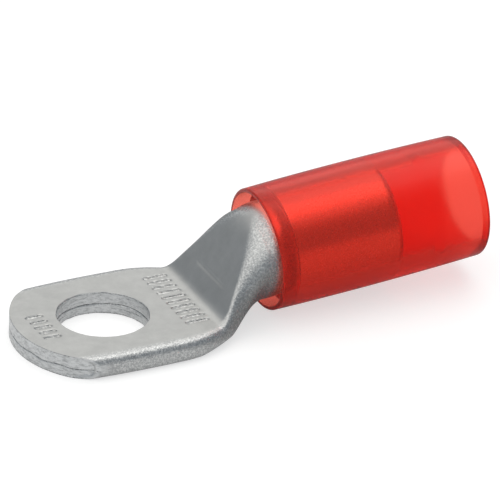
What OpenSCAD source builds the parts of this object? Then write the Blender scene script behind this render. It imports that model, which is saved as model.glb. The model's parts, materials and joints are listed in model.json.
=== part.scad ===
// Insulated cable lug: a metal tube pressed flat at one end into a palm with a
// stud hole, and a translucent plastic sleeve over its conductor barrel.
//
// Frame: millimetres, +Z up. The origin is the centre of the stud hole on the
// palm's underside. +X runs from the hole towards the cable, Y is across the palm.

/* [Palm] */
// Diameter of the stud hole
stud_hole_d = 6.4; // [4.3:0.1:8.4]
// Widest width of the palm, over its rounded long edges
palm_w = 12; // [10.8:0.2:15]
// Thickness of the palm, two tube walls pressed together
palm_t = 1.65; // [1.2:0.05:2.2]
// Distance from the hole's centre to the tip
tip_reach = 6.4; // [5.6:0.1:9]
// Radius of the arc that the tip is sheared to
tip_r = 6.95; // [6.6:0.05:12]
// Radius of the slight outward bow of the palm's long edges
side_bow_r = 60; // [40:5:200]
// Distance from the hole's centre to where the palm starts to narrow
neck_start = 3; // [2:0.1:5]
// How late the palm's sides draw in towards the barrel
neck_lag = 1.4; // [1:0.1:1.6]

/* [Ramp] */
// Distance from the hole's centre to the foot of the pressed ramp
ramp_foot = 7.05; // [6.6:0.05:10]
// Slope of the ramp's pressed face, in degrees
ramp_angle = 57; // [50:1:62]
// Half length of the hollow curve at the ramp's foot
foot_blend = 1; // [0.4:0.1:1.2]
// Half length of the round curve where the ramp meets the barrel's top
crown_blend = 1.5; // [0.6:0.1:1.8]
// How full the ramp's pressed face stays towards the barrel
ramp_fullness = 1.5; // [1:0.1:2]
// How full the underside stays towards the barrel
under_fullness = 1.2; // [1:0.1:2]

/* [Barrel] */
// Outer diameter of the tube
tube_od = 6.5; // [5.8:0.1:8]
// Diameter of the conductor bore
bore_d = 4.5; // [3:0.1:5]
// Upward slope of the barrel against the palm, in degrees
barrel_pitch = 4; // [0:0.5:6]
// Length left bare between the ramp's upper corner and the sleeve
bare_len = 0.8; // [0.6:0.1:3]
// Width of the bevel on the outer edge of the tube's mouth
mouth_bevel = 0.3; // [0.1:0.05:0.5]
// Width of the bevel on the edge of the conductor bore
bore_bevel = 0.25; // [0.1:0.05:0.35]
// Height of the last gap between the two walls, where the bore closes
slit_h = 0.12; // [0.08:0.02:0.3]

/* [Sleeve] */
// Length of the tube that the sleeve covers
seat_len = 9.5; // [7:0.5:14]
// Length of the sleeve's neck, between the tube's mouth and the cable entry
neck_len = 3.3; // [2:0.1:6]
// Length of the cable entry
entry_len = 3.2; // [2.4:0.1:8]
// Wall of the sleeve at its front rim
sleeve_wall = 1.1; // [0.8:0.05:1.6]
// Outward swell of the sleeve at the middle of its length
sleeve_swell = 0.075; // [0:0.025:0.3]
// How much the sleeve's outer radius shrinks from front to rear
sleeve_taper = 0.05; // [0:0.025:0.15]
// Height of the shoulder that the tube's mouth stops against
stop_h = 0.2; // [0.1:0.05:0.5]
// Diameter of the cable entry
entry_d = 6.5; // [6.2:0.1:6.9]
// Radial clearance between the tube and the sleeve
seat_clearance = 0.01; // [0.01:0.01:0.05]
// Rounding of the sleeve's outer rim edges
rim_round = 0.25; // [0.1:0.05:0.3]
// Bevel on the sleeve's inner rim edges
rim_bevel = 0.35; // [0.1:0.05:0.4]

/* [Hidden] */

$fn = 96;
METAL = "silver";
NYLON = "red";

// Points on each quarter of a lug section, and steps of the sleeve's swell
QUARTER_STEPS = 10;
SWELL_STEPS = 12;
RIM_STEPS = 4;
// Spacing of the lug's sections along the palm, and along the neck and ramp
PALM_STEP = 2.2;
RAMP_STEP = 0.28;
// The pressed shape runs on inside the round tube, this far below its surface
// and with this much to spare at the tube's slanted end
TUCK_DEPTH = 0.03;
TUCK_SPARE = 0.15;
// Where the palm is widest
BOW_CENTRE_X = 1;
// Least half width of the flats on a section
FLAT_MIN = 0.04;

tube_r = tube_od / 2;
bore_r = bore_d / 2;
fold_r = palm_t / 2;
ramp_slope = tan(ramp_angle);
pitch_slope = tan(barrel_pitch);
front_r = tube_r + sleeve_wall;

// The sleeve's front rim touches the plane of the palm's underside. That fixes
// where the ramp reaches the barrel's top, and the height of the barrel's axis.
rim_drop = rim_round + (front_r - rim_round) * cos(barrel_pitch);
crown_rise = rim_drop - (bare_len + rim_round) * sin(barrel_pitch)
    + tube_r / cos(barrel_pitch) - palm_t;
crown_x = ramp_foot + crown_rise / ramp_slope;
round_x = crown_x + crown_blend;
sleeve_start = crown_x / cos(barrel_pitch) + bare_len;
axis_z = rim_drop - (sleeve_start + rim_round) * sin(barrel_pitch);

// Stations along the barrel's axis
tuck_len = tube_r * sin(barrel_pitch) + TUCK_SPARE;
round_s = round_x / cos(barrel_pitch);
tube_start = round_s + tuck_len;
tube_end = sleeve_start + seat_len;
neck_end = tube_end + neck_len;
sleeve_end = neck_end + entry_len;
sleeve_len = sleeve_end - sleeve_start;

// Radii inside the sleeve
seat_r = tube_r + seat_clearance;
neck_r = tube_r - stop_h;
entry_r = entry_d / 2;

// ---- the pressed lug's section, as functions of x ----

function smooth_step(t) = let(u = min(max(t, 0), 1)) u * u * (3 - 2 * u);
function share(x, from, to) = min(max((x - from) / (to - from), 0), 1);

// Smallest and largest of two heights, with their corner rounded over width k
function soft_min(a, b, k) = min(a, b) - pow(max(k - abs(a - b), 0), 2) / (4 * k);
function soft_max(a, b, k) = -soft_min(-a, -b, k);

function barrel_axis_z(x) = axis_z + x * pitch_slope;
function barrel_half_h() = (tube_r - TUCK_DEPTH) / cos(barrel_pitch);
function ramp_z(x) = palm_t + (x - ramp_foot) * ramp_slope;

function top_z(x) =
    let(pressed = soft_max(palm_t, ramp_z(x), foot_blend * ramp_slope))
    soft_min(pressed, barrel_axis_z(x) + barrel_half_h(),
        crown_blend * (ramp_slope - pitch_slope));

function bottom_z(x) = smooth_step(share(x, ramp_foot - foot_blend / 2, crown_x))
    * (barrel_axis_z(x) - barrel_half_h());

function widest_z(x) = fold_r
    + smooth_step(share(x, ramp_foot + foot_blend, crown_x)) * (barrel_axis_z(x) - fold_r);

function bowed_half_w(x) =
    let(run = min(x, neck_start) - BOW_CENTRE_X)
    palm_w / 2 - run * run / (2 * side_bow_r);

function half_w(x) = bowed_half_w(x)
    + smooth_step(pow(share(x, neck_start, crown_x), neck_lag))
    * (tube_r - TUCK_DEPTH - bowed_half_w(x));

// Half widths of the flats that the press leaves on top and underneath
function top_flat(x) = FLAT_MIN
    + (half_w(min(x, ramp_foot)) - fold_r)
    * (1 - pow(share(x, ramp_foot, crown_x), ramp_fullness));

function bottom_flat(x) =
    let(t = share(x, (neck_start + ramp_foot) / 2, crown_x))
    FLAT_MIN + (half_w(x) - fold_r) * (1 - pow(t, under_fullness));

// One corner point of a section: side is 1 or -1, a is the angle above the
// widest point, negative below it
function corner(x, side, a) =
    let(
        flat = min(a >= 0 ? top_flat(x) : bottom_flat(x), half_w(x) - FLAT_MIN),
        edge_z = a >= 0 ? top_z(x) : bottom_z(x)
    )
    [
        x,
        side * (flat + (half_w(x) - flat) * cos(a)),
        widest_z(x) + abs(edge_z - widest_z(x)) * sin(a)
    ];

function section(x) = let(m = QUARTER_STEPS) concat(
    [for (j = [0 : m]) corner(x, 1, 90 * j / m)],
    [for (j = [m : -1 : 0]) corner(x, -1, 90 * j / m)],
    [for (j = [1 : m]) corner(x, -1, -90 * j / m)],
    [for (j = [m : -1 : 1]) corner(x, 1, -90 * j / m)]
);

// Evenly spaced stations from one x to another, the last one left out
function stations(from, to, step) =
    let(n = ceil((to - from) / step)) [for (i = [0 : n - 1]) from + (to - from) * i / n];

lug_stations = concat(
    stations(-tip_reach - 1, neck_start, PALM_STEP),
    stations(neck_start, round_x, RAMP_STEP),
    [round_x, round_x + 2 * tuck_len]
);

// ---- shared helpers ----

// Puts its children on the barrel's axis, with their Z along it
module on_barrel(s) {
    translate([0, 0, axis_z])
        rotate([0, 90 - barrel_pitch, 0])
            translate([0, 0, s])
                children();
}

// Closed skin over a list of rings with the same number of points
module skin(rings) {
    n = len(rings[0]);
    last = len(rings) - 1;
    walls = [for (k = [0 : last - 1], i = [0 : n - 1])
        let(j = (i + 1) % n, a = k * n, b = a + n)
        each [[a + i, b + j, a + j], [a + i, b + i, b + j]]];
    near_cap = [for (i = [0 : n - 1]) i];
    far_cap = [for (i = [n - 1 : -1 : 0]) last * n + i];
    polyhedron(points = [for (r = rings) each r], faces = concat(walls, [near_cap, far_cap]));
}

// ---- lug body ----

// Everything behind the tip's sheared arc
module tip_limit() {
    arc_x = tip_r - tip_reach;
    reach = round_x + 2 * tuck_len;
    linear_extrude(height = 4 * tube_od, center = true)
        union() {
            translate([arc_x, 0])
                circle(r = tip_r);
            translate([arc_x, -palm_w])
                square([reach, 2 * palm_w]);
        }
}

module pressed_tube() {
    intersection() {
        skin([for (x = lug_stations) section(x)]);
        tip_limit();
    }
}

module round_tube() {
    on_barrel(0)
        rotate_extrude()
            polygon([
                [0, tube_start],
                [tube_r, tube_start],
                [tube_r, tube_end - mouth_bevel],
                [tube_r - mouth_bevel / 2, tube_end],
                [0, tube_end]
            ]);
}

// The round bore ends where the tube starts to close. From there its two
// walls draw together to a slit above the ramp's foot.
module closing_bore() {
    slit_x = ramp_foot + foot_blend + 1;
    slit_z = (top_z(slit_x) + bottom_z(slit_x)) / 2;
    hull() {
        on_barrel(round_s)
            cylinder(r = bore_r - TUCK_DEPTH, h = TUCK_SPARE, $fn = 32);
        translate([slit_x, -bore_r, slit_z - slit_h / 2])
            cube([TUCK_SPARE, bore_d, slit_h]);
    }
}

module conductor_bore() {
    on_barrel(0)
        rotate_extrude()
            polygon([
                [0, round_s],
                [bore_r, round_s],
                [bore_r, tube_end - bore_bevel],
                [bore_r + bore_bevel, tube_end],
                [bore_r + bore_bevel, tube_end + 1],
                [0, tube_end + 1]
            ]);
}

module stud_hole() {
    translate([0, 0, -palm_t])
        cylinder(d = stud_hole_d, h = 3 * palm_t);
}

module lug_body() {
    color(METAL)
        difference() {
            union() {
                pressed_tube();
                round_tube();
            }
            stud_hole();
            closing_bore();
            conductor_bore();
        }
}

// ---- insulating sleeve ----

function swell_r(t) = front_r - sleeve_taper * t + 4 * (sleeve_swell + sleeve_taper / 2) * t * (1 - t);
function outer_r(s) = swell_r((s - sleeve_start) / sleeve_len);

// Quarter round of an outer rim edge, from angle a0 to a1
function rim_arc(s, a0, a1) = [for (i = [0 : RIM_STEPS])
    let(a = a0 + (a1 - a0) * i / RIM_STEPS)
    [outer_r(s) - rim_round + rim_round * cos(a), s + rim_round * sin(a)]];

// Half section of the sleeve: radius first, then the station along the axis
sleeve_outline = concat(
    rim_arc(sleeve_start + rim_round, -90, 0),
    [for (i = [1 : SWELL_STEPS - 1])
        let(s = sleeve_start + rim_round + (sleeve_len - 2 * rim_round) * i / SWELL_STEPS)
        [outer_r(s), s]],
    rim_arc(sleeve_end - rim_round, 0, 90),
    [
        [entry_r + rim_bevel, sleeve_end],
        [entry_r, sleeve_end - rim_bevel],
        [entry_r, neck_end],
        [neck_r, neck_end - abs(entry_r - neck_r)],
        [neck_r, tube_end],
        [seat_r, tube_end],
        [seat_r, sleeve_start + rim_bevel],
        [seat_r + rim_bevel, sleeve_start]
    ]
);

module insulating_sleeve() {
    color(NYLON, 0.6)
        on_barrel(0)
            rotate_extrude()
                polygon(sleeve_outline);
}

lug_body();
insulating_sleeve();
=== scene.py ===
import json
import math

import bmesh
import bpy
from mathutils import Matrix, Vector, noise

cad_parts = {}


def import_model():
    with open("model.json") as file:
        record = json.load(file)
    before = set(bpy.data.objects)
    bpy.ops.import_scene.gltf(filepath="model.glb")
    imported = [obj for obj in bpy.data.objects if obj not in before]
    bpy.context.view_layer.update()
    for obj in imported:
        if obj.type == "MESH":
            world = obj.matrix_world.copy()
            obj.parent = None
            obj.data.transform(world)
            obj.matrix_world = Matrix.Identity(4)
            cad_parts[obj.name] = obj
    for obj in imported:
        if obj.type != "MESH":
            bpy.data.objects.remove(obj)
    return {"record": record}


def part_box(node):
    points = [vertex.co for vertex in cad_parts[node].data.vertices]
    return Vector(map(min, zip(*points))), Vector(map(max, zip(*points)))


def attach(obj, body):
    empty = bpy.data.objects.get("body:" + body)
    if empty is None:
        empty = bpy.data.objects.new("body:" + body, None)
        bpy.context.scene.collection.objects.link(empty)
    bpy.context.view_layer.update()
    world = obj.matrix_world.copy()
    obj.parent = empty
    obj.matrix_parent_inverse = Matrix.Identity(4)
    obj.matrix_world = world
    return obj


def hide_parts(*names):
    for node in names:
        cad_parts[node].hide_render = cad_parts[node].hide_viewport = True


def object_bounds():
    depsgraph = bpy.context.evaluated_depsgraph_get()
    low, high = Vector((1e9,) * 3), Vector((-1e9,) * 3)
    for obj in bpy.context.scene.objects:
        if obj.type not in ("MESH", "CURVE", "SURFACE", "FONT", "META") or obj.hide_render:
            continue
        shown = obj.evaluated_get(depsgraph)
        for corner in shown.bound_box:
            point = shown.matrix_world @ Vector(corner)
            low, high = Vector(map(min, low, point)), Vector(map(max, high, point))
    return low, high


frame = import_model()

CAD_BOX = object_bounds()

# The pieces are worked out in millimetres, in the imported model's frame: the origin is
# the stud hole's centre on the palm's underside, and +X runs towards the cable.
MM = 0.001

MOUNTS = {m["name"]: m for m in frame["record"]["mounts"]}
LUG_LOW, LUG_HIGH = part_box("lug_body")
BARREL = MOUNTS["conductor_barrel"]

# ---- the lug's sizes ----

HOLE_R = MOUNTS["stud_hole"]["dims"]["r_mm"]
PALM_T = MOUNTS["stud_hole"]["dims"]["length_mm"]
BORE_R = BARREL["dims"]["r_mm"]
PALM_HALF_W = LUG_HIGH.y / MM
TIP_REACH = -LUG_LOW.x / MM
TIP_R = 6.95
SIDE_BOW_R = 60
BOW_CENTRE_X = 1
NECK_START = 3
NECK_LAG = 1.4
RAMP_FOOT = 7.05
RAMP_ANGLE = 57
FOOT_BLEND = 0.5
CROWN_BLEND = 1.8
RAMP_FULLNESS = 1.3
# The neck is wider than the tube where it meets the sleeve, by this much at each side
NECK_BULGE = 0.5
BULGE_DELAY = 1
FLAT_OVERRUN = 0.3
UNDER_FULLNESS = 1.2
TUBE_R = 3.25
BARE_LEN = 0.8
MOUTH_BEVEL = 0.3
BORE_BEVEL = 0.25
SLIT_H = 0.12
FLAT_MIN = 0.04
FOLD_POWER = 2.8

PITCH = math.atan2(BARREL["axis"][2], BARREL["axis"][0])
AXIS = Vector((math.cos(PITCH), 0, math.sin(PITCH)))
AXIS_Z = BARREL["pos_m"][2] / MM - BARREL["pos_m"][0] / MM * math.tan(PITCH)

# ---- the sleeve's sizes ----

SEAT_LEN = 9.5
NECK_LEN = 3.3
ENTRY_LEN = 3.2
SLEEVE_WALL = 1.1
SLEEVE_SWELL = 0.075
SLEEVE_TAPER = 0.05
STOP_H = 0.2
SEAT_CLEARANCE = 0.01
ENTRY_R = MOUNTS["cable_entry"]["dims"]["r_mm"]
RIM_ROUND = 0.25
RIM_BEVEL = 0.35
NECK_SLOPE_LEN = 0.7
FRONT_ROUND = 0.14
# The front edge is sharper than the CAD's, and this keeps it inside the CAD's box
BOX_HAIR = 0.01
POCKET_R = 4.08
POCKET_LEN = 1.6
POCKET_SLOPE_LEN = 0.3

FOLD_R = PALM_T / 2
FRONT_R = TUBE_R + SLEEVE_WALL - BOX_HAIR
RAMP_SLOPE = math.tan(math.radians(RAMP_ANGLE))
PITCH_SLOPE = math.tan(PITCH)
CROWN_X = RAMP_FOOT + (AXIS_Z + TUBE_R / math.cos(PITCH) - PALM_T + RAMP_FOOT * PITCH_SLOPE) / (
    RAMP_SLOPE - PITCH_SLOPE
)
ROUND_X = CROWN_X + CROWN_BLEND
SLEEVE_START = CROWN_X / math.cos(PITCH) + BARE_LEN
TUBE_END = SLEEVE_START + SEAT_LEN
NECK_END = TUBE_END + NECK_LEN
SLEEVE_END = NECK_END + ENTRY_LEN


# ---- the pressed tube's section, as functions of x ----


def clamp(t):
    return min(max(t, 0.0), 1.0)


def smooth_step(t):
    u = clamp(t)
    return u * u * (3 - 2 * u)


def share(x, start, end):
    return clamp((x - start) / (end - start))


def soft_min(a, b, k):
    return min(a, b) - max(k - abs(a - b), 0) ** 2 / (4 * k)


def soft_max(a, b, k):
    return -soft_min(-a, -b, k)


def axis_z(x):
    return AXIS_Z + x * PITCH_SLOPE


def top_z(x):
    ramp = PALM_T + (x - RAMP_FOOT) * RAMP_SLOPE
    pressed = soft_max(PALM_T, ramp, FOOT_BLEND * RAMP_SLOPE)
    crown = axis_z(x) + TUBE_R / math.cos(PITCH)
    return soft_min(pressed, crown, CROWN_BLEND * (RAMP_SLOPE - PITCH_SLOPE))


def bottom_z(x):
    rise = smooth_step(share(x, RAMP_FOOT - FOOT_BLEND / 2, CROWN_X))
    return rise * (axis_z(x) - TUBE_R / math.cos(PITCH))


def widest_z(x):
    rise = smooth_step(share(x, RAMP_FOOT + FOOT_BLEND, CROWN_X))
    return FOLD_R + rise * (axis_z(x) - FOLD_R)


def palm_half_w(x):
    return PALM_HALF_W - (min(x, NECK_START) - BOW_CENTRE_X) ** 2 / (2 * SIDE_BOW_R)


def half_w(x):
    bowed = palm_half_w(x)
    mouth_x = SLEEVE_START * math.cos(PITCH)
    bulge = smooth_step(share(x, RAMP_FOOT + BULGE_DELAY, CROWN_X))
    bulge -= smooth_step(share(x, mouth_x, mouth_x + POCKET_LEN))
    narrowed = bowed + smooth_step(share(x, NECK_START, CROWN_X) ** NECK_LAG) * (TUBE_R - bowed)
    return narrowed + NECK_BULGE * bulge


def top_flat(x):
    left = 1 - share(x, RAMP_FOOT, CROWN_X + FLAT_OVERRUN) ** RAMP_FULLNESS
    return FLAT_MIN + (half_w(min(x, RAMP_FOOT)) - FOLD_R) * left


def bottom_flat(x):
    left = 1 - share(x, (NECK_START + RAMP_FOOT) / 2, CROWN_X) ** UNDER_FULLNESS
    return FLAT_MIN + (half_w(x) - FOLD_R) * left


def tip_x(y):
    """Where the sheared tip stands at y."""
    return TIP_R - TIP_REACH - math.sqrt(TIP_R**2 - y**2)


def fold_power(x):
    """How square the folded edges are: 2 is round like the tube."""
    return 2 + (FOLD_POWER - 2) * (1 - smooth_step(share(x, NECK_START, RAMP_FOOT + 1)))


# ---- rings of the lug's skin ----

RING = 300
ARC_STEPS = 24
TIP_EDGE_R = 0.05
TIP_CORNER_R = 0.25
# The edge grows blunt between these distances from the palm's long edges
BLUNT_FROM = 1.2
BLUNT_TO = 0.3
TIP_TURNS = (0, 22, 45, 68)


def section(x):
    """RING evenly spaced points (y, z) round the tube at x, from +Y over the top."""
    w = half_w(x)
    mid = widest_z(x)
    power = 2 / fold_power(x)
    corners = []
    for side, above in ((1, 1), (-1, 1), (-1, -1), (1, -1)):
        flat = min(top_flat(x) if above > 0 else bottom_flat(x), w - FLAT_MIN)
        rise = (top_z(x) if above > 0 else bottom_z(x)) - mid
        steps = range(ARC_STEPS + 1) if side == above else range(ARC_STEPS, -1, -1)
        for j in steps:
            a = math.pi / 2 * j / ARC_STEPS
            out = (w - flat) * max(math.cos(a), 0) ** power
            corners.append((side * (flat + out), mid + rise * math.sin(a) ** power))
    corners.append(corners[0])
    lengths = [0.0]
    for p, q in zip(corners, corners[1:]):
        lengths.append(lengths[-1] + math.dist(p, q))
    points = []
    k = 0
    for i in range(RING):
        target = lengths[-1] * i / RING
        while lengths[k + 1] < target:
            k += 1
        t = (target - lengths[k]) / (lengths[k + 1] - lengths[k])
        (y0, z0), (y1, z1) = corners[k], corners[k + 1]
        points.append((y0 + (y1 - y0) * t, z0 + (z1 - z0) * t))
    return points


def along_axis(x, upright):
    """The ring round the tube at x, in a plane that leans with the barrel as upright goes to 0."""
    ring = []
    for y, z in section(x):
        slide = -(z - axis_z(x)) * math.sin(PITCH) * (1 - upright)
        ring.append(Vector((x, y, z)) + AXIS * slide)
    return ring


def edge_round(y):
    """Radius of the tip's sheared edge: sharp across the palm, blunt at the folded sides."""
    blunt = smooth_step(share(abs(y), PALM_HALF_W - BLUNT_FROM, PALM_HALF_W - BLUNT_TO))
    return TIP_EDGE_R + TIP_CORNER_R * blunt


def palm_ring(u, turn=90.0):
    """A ring of the palm: u goes from 0 at the sheared tip to 1 where the neck starts.

    At the tip, turn goes from 0 on the sheared face to 90 where its rounded edge ends.
    """
    ring = []
    out = 1 - math.cos(math.radians(turn))
    inset = 1 - math.sin(math.radians(turn))
    for y, z in section(BOW_CENTRE_X):
        r = edge_round(y)
        x = tip_x(y)
        y_bowed = y
        for _ in range(3):
            x = (tip_x(y_bowed) + r * out) * (1 - u) + NECK_START * u
            y_bowed = y * palm_half_w(x) / PALM_HALF_W
        y_bowed *= 1 - inset * r / PALM_HALF_W
        ring.append(Vector((x, y_bowed, z + (FOLD_R - z) * inset * r / FOLD_R)))
    return ring


def circle_ring(s, r, count=RING):
    """A ring of count points and radius r round the barrel's axis, s along it."""
    centre = Vector((0, 0, AXIS_Z)) + AXIS * s
    up = Vector((-AXIS.z, 0, AXIS.x))
    across = Vector((0, 1, 0))
    angles = [2 * math.pi * i / count for i in range(count)]
    return [centre + across * (r * math.cos(a)) + up * (r * math.sin(a)) for a in angles]


def slit_ring(x):
    """The flat end of the conductor bore, where the two walls meet."""
    z = (top_z(x) + bottom_z(x)) / 2
    angles = [2 * math.pi * i / RING for i in range(RING)]
    return [Vector((x, BORE_R * math.cos(a), z + SLIT_H / 2 * math.sin(a))) for a in angles]


def between(ring_a, ring_b, t):
    return [a.lerp(b, t) for a, b in zip(ring_a, ring_b)]


def spread(start, end, step):
    """Even stations from start up to end, the last one left out."""
    count = math.ceil((end - start) / step)
    return [start + (end - start) * i / count for i in range(count)]


# ---- marks pressed into the palm: plain rows of equal grooves, which spell nothing ----

BAR_DEPTH = 0.13
BAR_HALF_W = 0.15
MARK_EDGE = 0.07
# Painted shade on the grooves' sloping sides, darkest half way down them
MARK_SLOPE_SHADE = 0.7
MARK_REACH = 0.5


def mark_row(near_x, far_x, first_y, last_y, count):
    """Equal grooves along x, side by side in y: (near x, far x, y) of each."""
    return [(near_x, far_x, first_y + (last_y - first_y) * i / (count - 1)) for i in range(count)]


NECK_ROW = mark_row(4.9, 6.35, 3.6, -3.3, 10)
TIP_ROW = mark_row(-5.0, -4.05, 1.45, -1.6, 5)
BARS = NECK_ROW + TIP_ROW


def mark_share(x, y):
    """How far into a groove a point of the palm's top is, from 0 to 1."""
    bar = 0.0
    for near_x, far_x, bar_y in BARS:
        if abs(y - bar_y) < MARK_REACH:
            beyond = max(near_x - x, x - far_x, 0)
            away = math.hypot(beyond, y - bar_y)
            sloped = share(away, BAR_HALF_W - MARK_EDGE, BAR_HALF_W + MARK_EDGE)
            bar = max(bar, 1 - smooth_step(sloped))
    return bar


# ---- the lug's mesh ----

DIE_LINE_X = 8.08
DIE_LINE_H = 0.035
DIE_LINE_HALF_W = 0.07
DIE_LINE_Y = (-2.0, 1.9)
# About square to the ramp
DIE_LINE_LIFT = Vector((-0.84, 0, 0.54))
SEAM_STEPS = 32
SEAM_DEPTH = 0.06
SEAM_HALF_H = 0.04
HOLE_SEAM_Z = 0.78
HOLE_TEAR_Z = 0.5
BARREL_ROUND = 1.6
MARKED_STEP = 0.07
PLAIN_STEP = 0.16
TIP_MARKED_LEN = 3.2
NECK_MARKED_FROM = 4.3
NECK_MARKED_TO = 7.1
MOUTH_EDGE = 0.04
COVERED_FROM = 0.1
COVERED_TO = 0.5


def die_line(x, y):
    """Height of the fine raised line that the die left across the ramp."""
    fade = smooth_step(share(y, DIE_LINE_Y[0] - 1, DIE_LINE_Y[0] + 0.5))
    fade *= 1 - smooth_step(share(y, DIE_LINE_Y[1] - 0.6, DIE_LINE_Y[1] + 0.4))
    return DIE_LINE_H * fade * math.exp(-(((x - DIE_LINE_X) / DIE_LINE_HALF_W) ** 2))


def on_top_flat(x, y, z):
    """1 on the faces that the press made flat, 0 on the tube's round sides."""
    flat = top_flat(x) if z > widest_z(x) else bottom_flat(x)
    fade = 0.3 + 0.6 * share(x, NECK_START, CROWN_X)
    return 1 - smooth_step(share(abs(y), flat - 0.25, flat + fade))


def seam_z(y):
    """Height of the line between the two pressed walls, on the palm's cut faces."""
    return FOLD_R - 0.1 + 0.12 * noise.noise(Vector((y * 0.9, 3.1, 0)))


def seam_share(y):
    """How open the line between the two walls is: it closes towards the long edges."""
    return smooth_step(share(abs(y + 1.0), 6.2, 4.2)) if y < -1.0 else smooth_step(share(y, 6.0, 5.0))


def tip_face(ring):
    """Points of the sheared tip's face: columns between the ring's top and bottom."""
    columns = []
    for k in range(1, RING // 2):
        top, bottom = ring[k], ring[RING - k]
        column = []
        for j in range(1, SEAM_STEPS):
            p = top.lerp(bottom, j / SEAM_STEPS)
            near_seam = math.exp(-(((p.z - seam_z(p.y)) / SEAM_HALF_H) ** 2))
            p.x += SEAM_DEPTH * near_seam * seam_share(p.y)
            column.append(p)
        columns.append(column)
    return columns


def lug_rings():
    """Every ring of the lug's skin, from the tip along the outside, then back inside the bore."""
    rings = [palm_ring(0, turn) for turn in TIP_TURNS]
    palm_len = NECK_START + TIP_REACH
    for x in spread(0, TIP_MARKED_LEN, MARKED_STEP) + spread(TIP_MARKED_LEN, palm_len, PLAIN_STEP):
        rings.append(palm_ring(x / palm_len))
    # Stations are close together where the marks and the die line are
    stations = spread(NECK_START, NECK_MARKED_FROM, PLAIN_STEP)
    stations += spread(NECK_MARKED_FROM, NECK_MARKED_TO, MARKED_STEP)
    stations += spread(NECK_MARKED_TO, 7.8, 0.1) + spread(7.8, 8.4, 0.04) + spread(8.4, ROUND_X, 0.12)
    rings += [along_axis(x, 1) for x in stations]
    mouth_x = (TUBE_END - MOUTH_BEVEL) * math.cos(PITCH)
    for x in spread(ROUND_X, mouth_x, 0.3):
        rings.append(along_axis(x, 1 - share(x, ROUND_X, ROUND_X + BARREL_ROUND)))
    edge = MOUTH_EDGE
    rings += [
        circle_ring(TUBE_END - MOUTH_BEVEL, TUBE_R),
        circle_ring(TUBE_END - edge, TUBE_R - MOUTH_BEVEL / 2 + edge / 4),
        circle_ring(TUBE_END, TUBE_R - MOUTH_BEVEL / 2 - edge),
        circle_ring(TUBE_END, BORE_R + BORE_BEVEL + edge),
        circle_ring(TUBE_END - edge, BORE_R + BORE_BEVEL - edge),
        circle_ring(TUBE_END - BORE_BEVEL, BORE_R),
    ]
    bore_end = ROUND_X / math.cos(PITCH)
    rings += [circle_ring(s, BORE_R) for s in reversed(spread(bore_end, TUBE_END - 1, 0.8))]
    slit = slit_ring(RAMP_FOOT + FOOT_BLEND + 1)
    rings += [between(circle_ring(bore_end, BORE_R), slit, t / 6) for t in range(1, 7)]
    return rings


def press_marks(p):
    """Moves a point of the skin down into the grooves on the palm, and up onto the die line."""
    if p.z < PALM_T / 2 or p.x > DIE_LINE_X + 1:
        return p
    flat = on_top_flat(p.x, p.y, p.z)
    if p.x < RAMP_FOOT + 0.3:
        p.z -= flat * BAR_DEPTH * mark_share(p.x, p.y)
    elif abs(p.x - DIE_LINE_X) < 0.5:
        p += DIE_LINE_LIFT * (flat * die_line(p.x, p.y))
    return p


def new_object(name, points, faces):
    mesh = bpy.data.meshes.new(name)
    mesh.from_pydata([p * MM for p in points], [], faces)
    mesh.validate()
    obj = bpy.data.objects.new(name, mesh)
    bpy.context.scene.collection.objects.link(obj)
    return obj


def ring_walls(count, size, first=0):
    """Faces between count rings of size points, the first of them at index first."""
    faces = []
    for k in range(count - 1):
        a = first + k * size
        b = a + size
        for i in range(size):
            j = (i + 1) % size
            faces.append((a + i, b + i, b + j, a + j))
    return faces


def lug_mesh():
    rings = lug_rings()
    points = [press_marks(p.copy()) for ring in rings[:-1] for p in ring] + rings[-1]
    faces = ring_walls(len(rings), RING)
    # The slit's end is closed straight across
    last = (len(rings) - 1) * RING
    half = RING // 2
    for k in range(half):
        other = (RING - k) % RING
        corners = [last + k, last + other, last + RING - k - 1, last + k + 1]
        faces.append(tuple(dict.fromkeys(corners)))
    # The sheared face, in columns between the top edge and the bottom edge
    columns = tip_face(rings[0])
    first = len(points)
    points += [p for column in columns for p in column]
    inner = SEAM_STEPS - 1

    def at(k, j):
        """Index of the tip face's point j down column k; the ring's own points close it."""
        if j == 0 or k in (0, half):
            return k
        if j == SEAM_STEPS:
            return RING - k
        return first + (k - 1) * inner + j - 1

    for k in range(half):
        for j in range(SEAM_STEPS):
            corners = [at(k, j), at(k + 1, j), at(k + 1, j + 1), at(k, j + 1)]
            corners = list(dict.fromkeys(corners))
            if len(corners) > 2:
                faces.append(tuple(corners))
    return new_object("tinned_lug", points, faces)


# ---- the stud hole ----

HOLE_STEPS = 240
HOLE_LEVELS = 36
HOLE_EDGE_R = 0.05


def round_noise(angle, turns, seed):
    """Smooth noise, about -0.5 to 0.5, that closes on itself round the hole."""
    return noise.noise(Vector((math.cos(angle) * turns, math.sin(angle) * turns, seed)))


def hole_seam(angle, z):
    """How near a point of the hole's wall is to the seam between the two pressed walls."""
    wander = 0.1 * round_noise(angle, 1.6, 7.0) + 0.03 * round_noise(angle, 7, 7.0)
    return math.exp(-(((z - HOLE_SEAM_Z - wander) / SEAM_HALF_H) ** 2))


def hole_tear(angle, z):
    """How near it is to the torn line that runs under part of the seam."""
    wander = 0.12 * round_noise(angle, 1.8, 4.0) + 0.06 * round_noise(angle, 8, 4.0)
    near = math.exp(-(((z - HOLE_TEAR_Z - wander) / SEAM_HALF_H) ** 2))
    return near * clamp(0.6 + 3 * round_noise(angle, 2, 9.0))


def hole_wall_r(z, angle):
    """Radius of the punched hole's wall: broken edges, the seam and the torn line."""
    edge = HOLE_EDGE_R * (1 + round_noise(angle, 5, 2.0))
    top = max(z - (PALM_T - edge), 0)
    bottom = max(edge * 1.5 - z, 0) * 0.8
    return HOLE_R + top + bottom + SEAM_DEPTH * hole_seam(angle, z) + SEAM_DEPTH / 2 * hole_tear(angle, z)


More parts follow.
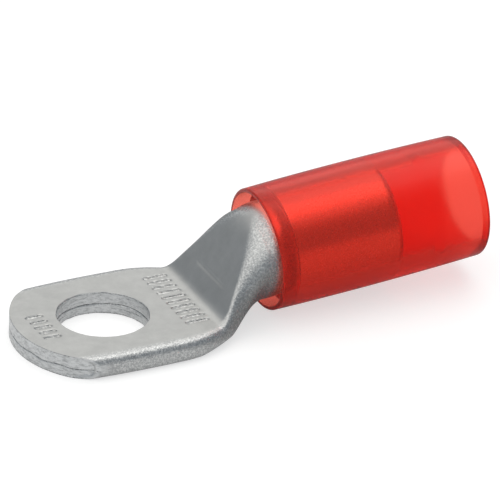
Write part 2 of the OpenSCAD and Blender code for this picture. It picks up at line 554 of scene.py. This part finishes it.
def hole_cutter():
    wall = [PALM_T * i / HOLE_LEVELS for i in range(HOLE_LEVELS + 1)]
    levels = [-0.5, -0.02] + wall + [PALM_T + 0.02, PALM_T + 0.5]
    points = []
    for z in levels:
        for i in range(HOLE_STEPS):
            a = 2 * math.pi * i / HOLE_STEPS
            r = hole_wall_r(min(max(z, 0), PALM_T), a)
            points.append(Vector((r * math.cos(a), r * math.sin(a), z)))
    faces = ring_walls(len(levels), HOLE_STEPS)
    faces.append(tuple(range(HOLE_STEPS)))
    last = (len(levels) - 1) * HOLE_STEPS
    faces.append(tuple(last + i for i in reversed(range(HOLE_STEPS))))
    return new_object("hole_cutter", points, faces)


def outward(obj):
    """Turns every face of a closed mesh outwards."""
    bm = bmesh.new()
    bm.from_mesh(obj.data)
    bmesh.ops.recalc_face_normals(bm, faces=bm.faces)
    bm.to_mesh(obj.data)
    bm.free()


def cut(obj, cutter):
    outward(obj)
    outward(cutter)
    modifier = obj.modifiers.new("cut", "BOOLEAN")
    modifier.operation = "DIFFERENCE"
    modifier.solver = "MANIFOLD"
    modifier.object = cutter
    graph = bpy.context.evaluated_depsgraph_get()
    mesh = bpy.data.meshes.new_from_object(obj.evaluated_get(graph))
    obj.modifiers.clear()
    obj.data = mesh
    bpy.data.objects.remove(cutter)


def smooth(obj, degrees):
    obj.data.shade_smooth()
    obj.data.set_sharp_from_angle(angle=math.radians(degrees))


def cut_share(point, normal):
    """1 on the sheared faces, at the tip and in the hole, and 0 elsewhere."""
    x, y, z = point
    from_centre = Vector((x - TIP_R + TIP_REACH, y, 0))
    at_tip = smooth_step(share(from_centre.length, TIP_R - 0.45, TIP_R - 0.25)) if x < 0 else 0
    at_tip *= share(normal.dot(from_centre.normalized()), 0.82, 0.95)
    at_hole = share(-normal.dot(Vector((x, y, 0)).normalized()), 0.6, 0.9)
    at_hole *= math.hypot(x, y) < HOLE_R + 0.2 and -0.01 < z < PALM_T + 0.01
    return max(at_tip, at_hole)


def painted_shade_on_cut(x, y, z):
    """Painted shade on a sheared face: in its seams, and along its upper and lower edges."""
    edge = max(share(z, PALM_T - 0.16, PALM_T - 0.03), share(z, 0.22, 0.05))
    if math.hypot(x, y) < HOLE_R + 0.2:
        angle = math.atan2(y, x)
        return max(edge * 0.65, hole_seam(angle, z) * 0.85, hole_tear(angle, z) * 0.6)
    seam = math.exp(-(((z - seam_z(y)) / SEAM_HALF_H) ** 2)) * seam_share(y)
    return max(edge * 0.55, seam * 0.8)


def paint_lug(obj):
    """Values at each vertex: grain is 1 on the tube's own skin, cut on sheared faces, pressed in the grooves
    (painted lighter there, a painted highlight), grime for painted shade in seams, along the cut
    faces' edges and on the grooves' slopes, and covered inside the sleeve (tin painted lighter there)."""
    values = {"grain": [], "cut": [], "pressed": [], "grime": [], "covered": []}
    for vertex in obj.data.vertices:
        point = vertex.co / MM
        x, y, z = point
        cut_face = cut_share(point, vertex.normal)
        grime = cut_face * painted_shade_on_cut(x, y, z)
        bar = 0.0
        if z > PALM_T * 0.75 and x < RAMP_FOOT + 0.3 and cut_face < 0.5:
            bar = mark_share(x, y)
            # Painted shade on the grooves' slopes
            grime = max(grime, MARK_SLOPE_SHADE * 4 * bar * (1 - bar))
        station = (point - Vector((0, 0, AXIS_Z))).dot(AXIS)
        values["grain"].append((1 - on_top_flat(x, y, z)) * (1 - cut_face))
        values["cut"].append(cut_face)
        values["pressed"].append(bar)
        values["grime"].append(grime)
        covered = smooth_step(share(station, SLEEVE_START + COVERED_FROM, SLEEVE_START + COVERED_TO))
        values["covered"].append(covered)
    for name, layer in values.items():
        obj.data.attributes.new(name, "FLOAT", "POINT").data.foreach_set("value", layer)


# ---- the sleeve's mesh ----

SLEEVE_STEPS = 160
ROUND_STEPS = 6
SWELL_STEPS = 20
EDGE_CUT = 0.04
EDGE_STEPS = 3
# A ring this far beside each corner keeps the shading of the long walls straight
EDGE_GUARD = 0.03
ENTRY_CLEARNESS = 0.12
POCKET_CLEARNESS = 0.65


def outer_r(s):
    t = (s - SLEEVE_START) / (SLEEVE_END - SLEEVE_START)
    return FRONT_R - SLEEVE_TAPER * t + 4 * (SLEEVE_SWELL + SLEEVE_TAPER / 2) * t * (1 - t)


def rim_arc(s, start, end, r):
    """Points (radius, station) round an outer rim edge of radius r, from angle start to end."""
    points = []
    for i in range(ROUND_STEPS + 1):
        a = math.radians(start + (end - start) * i / ROUND_STEPS)
        points.append((outer_r(s) - r + r * math.cos(a), s + r * math.sin(a)))
    return points


def softened(corners):
    """The path (radius, station) through the corners, each one rounded and guarded."""
    path = []
    for before, corner, after in zip(corners, corners[1:], corners[2:]):
        before, corner, after = Vector(before), Vector(corner), Vector(after)
        back = (before - corner).normalized()
        ahead = (after - corner).normalized()
        path.append(corner + back * (EDGE_CUT + EDGE_GUARD))
        for i in range(EDGE_STEPS + 1):
            t = i / EDGE_STEPS
            path.append(corner + back * EDGE_CUT * (1 - t) ** 2 + ahead * EDGE_CUT * t**2)
        path.append(corner + ahead * (EDGE_CUT + EDGE_GUARD))
    return [tuple(p) for p in path]


def sleeve_profile():
    """The sleeve's section (radius, station): along the outside, then back through the inside."""
    seat_r = TUBE_R + SEAT_CLEARANCE
    neck_r = TUBE_R - STOP_H
    front = SLEEVE_START + FRONT_ROUND
    rear = SLEEVE_END - RIM_ROUND
    profile = rim_arc(front, -90, 0, FRONT_ROUND)
    profile += [(outer_r(s), s) for s in spread(front, rear, (rear - front) / SWELL_STEPS)[1:]]
    profile += rim_arc(rear, 0, 90, RIM_ROUND)
    profile += softened(
        [
            (FRONT_R - RIM_ROUND, SLEEVE_END),
            (ENTRY_R + RIM_BEVEL, SLEEVE_END),
            (ENTRY_R, SLEEVE_END - RIM_BEVEL),
            (ENTRY_R, NECK_END),
            (neck_r, NECK_END - NECK_SLOPE_LEN),
            (neck_r, TUBE_END),
            (seat_r, TUBE_END),
            (seat_r, SLEEVE_START + POCKET_LEN),
            (POCKET_R, SLEEVE_START + POCKET_LEN - POCKET_SLOPE_LEN),
            (POCKET_R, SLEEVE_START),
            (FRONT_R - FRONT_ROUND, SLEEVE_START),
        ]
    )
    return profile


def inner_clearness(r, s):
    """How little the inner face colours light: least where it lies on the tube."""
    if s > TUBE_END:
        entry = ENTRY_CLEARNESS * smooth_step(share(s, NECK_END - 0.3, NECK_END))
        return entry if r < ENTRY_R + 0.01 else 0
    if r < TUBE_R + 2 * SEAT_CLEARANCE:
        return 1
    return POCKET_CLEARNESS if r < POCKET_R + 0.01 else 0


def sleeve_mesh():
    profile = sleeve_profile()
    points = [p for r, s in profile for p in circle_ring(s, r, SLEEVE_STEPS)]
    faces = ring_walls(len(profile), SLEEVE_STEPS)
    last = (len(profile) - 1) * SLEEVE_STEPS
    for i in range(SLEEVE_STEPS):
        j = (i + 1) % SLEEVE_STEPS
        faces.append((last + i, i, j, last + j))
    obj = new_object("red_sleeve", points, faces)
    outward(obj)
    clearness = [inner_clearness(r, s) for r, s in profile for _ in range(SLEEVE_STEPS)]
    obj.data.attributes.new("clear", "FLOAT", "POINT").data.foreach_set("value", clearness)
    return obj


# ---- materials ----

TIN_DULL = (0.405, 0.407, 0.402)
TIN_BRIGHT = (0.465, 0.467, 0.46)
TIN_SPECK_DARK = (0.38, 0.387, 0.39)
TIN_SPECK_LIGHT = (0.62, 0.625, 0.62)
TIN_TORN_DARK = (0.36, 0.37, 0.375)
TIN_TORN_LIGHT = (0.7, 0.71, 0.715)
# Painted highlight: the grooves are painted lighter than the tin round them, standing in for glints off
# their sides
TIN_GROOVE_HIGHLIGHT = (0.66, 0.66, 0.65)
# Painted light: the tin inside the sleeve is painted lighter, standing in for light that the sleeve scatters
# onto it
TIN_LIT_UNDER_SLEEVE = (0.95, 0.95, 0.94)
# Painted shade: the dark of the seams, the cut faces' edges and the grooves' slopes
PAINTED_SHADE_COLOUR = (0.08, 0.085, 0.09)
SKIN_ROUGHNESS_DROP = 0.1
STREAK_STRETCH = (1, 1, 3)


def new_material(name):
    material = bpy.data.materials.new(name)
    material.use_nodes = True
    tree = material.node_tree
    return material, tree.nodes, tree.links, tree.nodes["Principled BSDF"]


def object_mm(nodes, links, stretch=(1, 1, 1)):
    """The point in the part's frame, in millimetres, stretched along its axes."""
    coordinates = nodes.new("ShaderNodeTexCoord")
    mapping = nodes.new("ShaderNodeMapping")
    mapping.inputs["Scale"].default_value = [k / MM for k in stretch]
    links.new(coordinates.outputs["Object"], mapping.inputs["Vector"])
    return mapping.outputs["Vector"]


def noise_field(nodes, links, point, per_mm, detail, rough=0.5):
    field = nodes.new("ShaderNodeTexNoise")
    field.inputs["Scale"].default_value = per_mm
    field.inputs["Detail"].default_value = detail
    field.inputs["Roughness"].default_value = rough
    links.new(point, field.inputs["Vector"])
    return field.outputs["Fac"]


def mapped(nodes, links, value, low, high, to_low, to_high):
    remap = nodes.new("ShaderNodeMapRange")
    for name, number in (("From Min", low), ("From Max", high), ("To Min", to_low), ("To Max", to_high)):
        remap.inputs[name].default_value = number
    links.new(value, remap.inputs["Value"])
    return remap.outputs["Result"]


def arithmetic(nodes, links, operation, a, b):
    node = nodes.new("ShaderNodeMath")
    node.operation = operation
    for socket, value in zip(node.inputs, (a, b)):
        if isinstance(value, (int, float)):
            socket.default_value = value
        else:
            links.new(value, socket)
    return node.outputs["Value"]


def attribute(nodes, name):
    node = nodes.new("ShaderNodeAttribute")
    node.attribute_name = name
    return node.outputs["Fac"]


def bump(nodes, links, height, depth_mm, strength, under=None):
    """A bumped normal, on top of the normal under it."""
    node = nodes.new("ShaderNodeBump")
    node.inputs["Distance"].default_value = depth_mm * MM
    if isinstance(strength, (int, float)):
        node.inputs["Strength"].default_value = strength
    else:
        links.new(strength, node.inputs["Strength"])
    links.new(height, node.inputs["Height"])
    if under:
        links.new(under, node.inputs["Normal"])
    return node.outputs["Normal"]


def blend_colour(nodes, links, factor, a, b):
    mix = nodes.new("ShaderNodeMix")
    mix.data_type = "RGBA"
    links.new(factor, mix.inputs["Factor"])
    for socket, colour in ((mix.inputs[6], a), (mix.inputs[7], b)):
        if isinstance(colour, tuple):
            socket.default_value = (*colour, 1)
        else:
            links.new(colour, socket)
    return mix.outputs[2]


def tin_colour(nodes, links, point, fine, coarse):
    """Cloudy on the pressed faces, speckled on the tube's own skin, streaked where sheared."""
    clouds = noise_field(nodes, links, point, 0.9, 6, 0.65)
    colour = blend_colour(nodes, links, mapped(nodes, links, clouds, 0.32, 0.68, 0, 1), TIN_DULL, TIN_BRIGHT)
    speckle = mapped(nodes, links, coarse, 0.42, 0.62, 0, 1)
    speckled = blend_colour(nodes, links, speckle, TIN_SPECK_DARK, TIN_SPECK_LIGHT)
    colour = blend_colour(nodes, links, attribute(nodes, "grain"), colour, speckled)
    streaks = noise_field(nodes, links, object_mm(nodes, links, STREAK_STRETCH), 2.2, 6, 0.75)
    torn = mapped(nodes, links, streaks, 0.32, 0.55, 0, 1)
    torn = blend_colour(nodes, links, torn, TIN_TORN_DARK, TIN_TORN_LIGHT)
    colour = blend_colour(nodes, links, attribute(nodes, "cut"), colour, torn)
    # Painted highlight in the grooves
    pressed = blend_colour(nodes, links, speckle, TIN_BRIGHT, TIN_GROOVE_HIGHLIGHT)
    colour = blend_colour(nodes, links, attribute(nodes, "pressed"), colour, pressed)
    # Painted light on the tin inside the sleeve
    colour = blend_colour(nodes, links, attribute(nodes, "covered"), colour, TIN_LIT_UNDER_SLEEVE)
    # The painted shade breaks up along its border
    border = mapped(nodes, links, fine, 0, 1, -0.5, 0.5)
    ragged = arithmetic(nodes, links, "ADD", attribute(nodes, "grime"), border)
    dark = mapped(nodes, links, ragged, 0.35, 0.75, 0, 1)
    return blend_colour(nodes, links, dark, colour, PAINTED_SHADE_COLOUR)


def tin_material():
    """Matt electroplated tin on copper."""
    material, nodes, links, shader = new_material("tinned_copper")
    point = object_mm(nodes, links)
    fine = noise_field(nodes, links, point, 8, 3, 0.65)
    coarse = noise_field(nodes, links, point, 7.5, 3, 0.65)
    links.new(tin_colour(nodes, links, point, fine, coarse), shader.inputs["Base Color"])
    shader.inputs["Metallic"].default_value = 1

    own_skin = arithmetic(nodes, links, "MULTIPLY", attribute(nodes, "grain"), SKIN_ROUGHNESS_DROP)
    rough = mapped(nodes, links, fine, 0.3, 0.7, 0.35, 0.43)
    links.new(arithmetic(nodes, links, "SUBTRACT", rough, own_skin), shader.inputs["Roughness"])

    uneven = arithmetic(nodes, links, "MAXIMUM", attribute(nodes, "grain"), attribute(nodes, "cut"))
    uneven = arithmetic(nodes, links, "MAXIMUM", uneven, attribute(nodes, "pressed"))
    skin = bump(nodes, links, fine, 0.01, 0.6)
    bare = arithmetic(nodes, links, "SUBTRACT", 1, attribute(nodes, "covered"))
    uneven = arithmetic(nodes, links, "MULTIPLY", uneven, bare)
    pebbles = bump(nodes, links, coarse, 0.04, uneven, skin)
    links.new(pebbles, shader.inputs["Normal"])
    return material


NYLON_RED = (0.985, 0.072, 0.045)
NYLON_CLEAR = (0.99, 0.85, 0.75)
NYLON_DEPTH = (0.97, 0.5, 0.45, 1)
NYLON_TINT = (1, 0.7, 0.65, 1)


def sleeve_material():
    """Milky translucent red polyamide: part of its colour comes from its depth."""
    material, nodes, links, shader = new_material("red_polyamide")
    along = object_mm(nodes, links, (0.3, 1, 1))
    colour = blend_colour(nodes, links, attribute(nodes, "clear"), NYLON_RED, NYLON_CLEAR)
    links.new(colour, shader.inputs["Base Color"])
    shader.inputs["Transmission Weight"].default_value = 0.86
    shader.inputs["IOR"].default_value = 1.33
    shader.inputs["Specular Tint"].default_value = NYLON_TINT
    streaks = noise_field(nodes, links, along, 0.9, 3)
    peel = noise_field(nodes, links, object_mm(nodes, links), 2.5, 3)
    rough = mapped(nodes, links, streaks, 0.3, 0.7, 0.16, 0.26)
    links.new(rough, shader.inputs["Roughness"])
    moulded = bump(nodes, links, streaks, 0.01, 0.25)
    links.new(bump(nodes, links, peel, 0.012, 0.5, moulded), shader.inputs["Normal"])
    depth = nodes.new("ShaderNodeVolumeAbsorption")
    depth.inputs["Color"].default_value = NYLON_DEPTH
    depth.inputs["Density"].default_value = 0.25 / MM
    links.new(depth.outputs["Volume"], nodes["Material Output"].inputs["Volume"])
    return material


# ---- the studio ----

FLOOR_HALF = 3.0
FLOOR_COLOUR = (0.5, 0.5, 0.5)
# Painted shadow on the floor below the sleeve, seen only in reflections
FLOOR_SHADED = (0.2, 0.2, 0.2)
FLOOR_LIFT = 0.6
MIRRORED_LIFT = 0.35
# In metres from the stud hole, as the shader has them
SHADE_FROM_X = 0.0055
SHADE_TO_X = 0.0125
SHADE_MOST = 0.75


def seen_directly(nodes, links):
    """1 for camera rays and for rays that see straight through the plastic."""
    path = nodes.new("ShaderNodeLightPath")
    bounces = arithmetic(nodes, links, "ADD", path.outputs["Glossy Depth"], path.outputs["Diffuse Depth"])
    straight = arithmetic(nodes, links, "LESS_THAN", bounces, 0.5)
    through = arithmetic(nodes, links, "MULTIPLY", path.outputs["Is Transmission Ray"], straight)
    return arithmetic(nodes, links, "MAXIMUM", path.outputs["Is Camera Ray"], through)


def floor_shade(nodes, links):
    """How much painted shadow dims the floor in reflections: not at the palm, most below the sleeve."""
    place = nodes.new("ShaderNodeSeparateXYZ")
    links.new(nodes.new("ShaderNodeNewGeometry").outputs["Position"], place.inputs["Vector"])
    shade = mapped(nodes, links, place.outputs["X"], SHADE_FROM_X, SHADE_TO_X, 0, SHADE_MOST)
    path = nodes.new("ShaderNodeLightPath")
    outside = arithmetic(nodes, links, "LESS_THAN", path.outputs["Transmission Depth"], 0.5)
    mirrored = arithmetic(nodes, links, "MULTIPLY", path.outputs["Is Glossy Ray"], outside)
    return arithmetic(nodes, links, "MULTIPLY", shade, mirrored)


def floor_lift(nodes, links):
    """The white background's own light, for rays that see it; the metal mirrors it dimmer."""
    path = nodes.new("ShaderNodeLightPath")
    lift = arithmetic(nodes, links, "MULTIPLY", seen_directly(nodes, links), FLOOR_LIFT)
    lit = arithmetic(nodes, links, "SUBTRACT", path.outputs["Is Glossy Ray"], floor_shade(nodes, links))
    mirrored = arithmetic(nodes, links, "MULTIPLY", lit, MIRRORED_LIFT)
    return arithmetic(nodes, links, "MAXIMUM", lift, mirrored)


def floor():
    z = CAD_BOX[0][2] / MM
    half = FLOOR_HALF / MM
    corners = [Vector((x, y, z)) for x, y in ((-half, -half), (half, -half), (half, half), (-half, half))]
    obj = new_object("studio_floor", corners, [(0, 1, 2, 3)])
    material, nodes, links, shader = new_material("studio_white")
    colour = blend_colour(nodes, links, floor_shade(nodes, links), FLOOR_COLOUR, FLOOR_SHADED)
    links.new(colour, shader.inputs["Base Color"])
    shader.inputs["Roughness"].default_value = 0.9
    shader.inputs["Specular IOR Level"].default_value = 0
    shader.inputs["Emission Color"].default_value = (1, 1, 1, 1)
    links.new(floor_lift(nodes, links), shader.inputs["Emission Strength"])
    obj.data.materials.append(material)


# The studio's soft ceiling is a bright rectangle; each of its edges is a great circle through
# the horizon. An edge: the azimuth it stands over, its elevation there and its softness
CEILING_EDGES = ((63, 18, 0.1), (153, 38, 0.08), (-117, 37, 0.08), (-27, 60, 0.1))
DOME_LOW = (0.345, 0.375, 0.405)
DOME_HIGH = (1.29, 1.285, 1.255)


def world():
    """Soft studio surroundings, dimmer outside the ceiling; the camera sees plain white."""
    space = bpy.data.worlds.new("studio")
    space.use_nodes = True
    nodes, links = space.node_tree.nodes, space.node_tree.links
    coordinates = nodes.new("ShaderNodeTexCoord")
    inside = 1.0
    for azimuth, elevation, softness in CEILING_EDGES:
        level, slope = math.radians(azimuth), math.radians(elevation)
        side = nodes.new("ShaderNodeVectorMath")
        side.operation = "DOT_PRODUCT"
        side.inputs[1].default_value = (
            -math.cos(level) * math.sin(slope),
            -math.sin(level) * math.sin(slope),
            math.cos(slope),
        )
        links.new(coordinates.outputs["Generated"], side.inputs[0])
        within = mapped(nodes, links, side.outputs["Value"], -softness, softness, 0, 1)
        inside = arithmetic(nodes, links, "MULTIPLY", within, inside)
    colour = blend_colour(nodes, links, inside, DOME_LOW, DOME_HIGH)
    colour = blend_colour(nodes, links, seen_directly(nodes, links), colour, (1, 1, 1))
    background = nodes["Background"]
    links.new(colour, background.inputs["Color"])
    bpy.context.scene.world = space


def area_light(name, direction, distance, width, height, power, colour):
    """A soft box that faces the part from a direction."""
    data = bpy.data.lights.new(name, "AREA")
    data.shape = "RECTANGLE"
    data.size = width
    data.size_y = height
    data.energy = power
    data.color = colour
    light = bpy.data.objects.new(name, data)
    away = Vector(direction).normalized()
    light.location = CENTRE + away * distance
    light.rotation_euler = away.to_track_quat("Z", "Y").to_euler()
    bpy.context.scene.collection.objects.link(light)


# The camera: where it stands round the part, and the point that it looks at
CAMERA_AZIMUTH = -26.567
CAMERA_ELEVATION = 27.840
CAMERA_ROLL = 1.970
CAMERA_DISTANCE = 609.5
CAMERA_AIM = Vector((11.473, 0.690, 3.996))
CAMERA_LENS = 634.28


def camera():
    azimuth, elevation, roll = (math.radians(v) for v in (CAMERA_AZIMUTH, CAMERA_ELEVATION, CAMERA_ROLL))
    level = math.cos(elevation)
    back = Vector((math.sin(azimuth) * level, -math.cos(azimuth) * level, math.sin(elevation)))
    right = Vector((math.cos(azimuth), math.sin(azimuth), 0))
    up = back.cross(right)
    turned_right = right * math.cos(roll) + up * math.sin(roll)
    turned_up = up * math.cos(roll) - right * math.sin(roll)
    data = bpy.data.cameras.new("camera")
    data.lens = CAMERA_LENS
    data.sensor_width = 36
    data.sensor_fit = "HORIZONTAL"
    data.clip_start = 0.01
    data.clip_end = 20
    obj = bpy.data.objects.new("camera", data)
    matrix = Matrix((turned_right, turned_up, back)).transposed().to_4x4()
    matrix.translation = (CAMERA_AIM + back * CAMERA_DISTANCE) * MM
    obj.matrix_world = matrix
    bpy.context.scene.collection.objects.link(obj)
    bpy.context.scene.camera = obj


def dress(obj, material, node):
    obj.data.materials.clear()
    obj.data.materials.append(material)
    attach(obj, "root")
    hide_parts(node)


CENTRE = (Vector(CAD_BOX[0]) + Vector(CAD_BOX[1])) / 2

camera()

lug = lug_mesh()
cut(lug, hole_cutter())
smooth(lug, 32)
paint_lug(lug)
dress(lug, tin_material(), "lug_body")

sleeve = sleeve_mesh()
smooth(sleeve, 38)
dress(sleeve, sleeve_material(), "insulating_sleeve")

floor()
world()
area_light("softbox", (0.5, 0.15, 0.85), 0.5, 0.3, 0.3, 0.3, (1, 0.99, 0.97))
bpy.context.scene.view_settings.view_transform = "Standard"
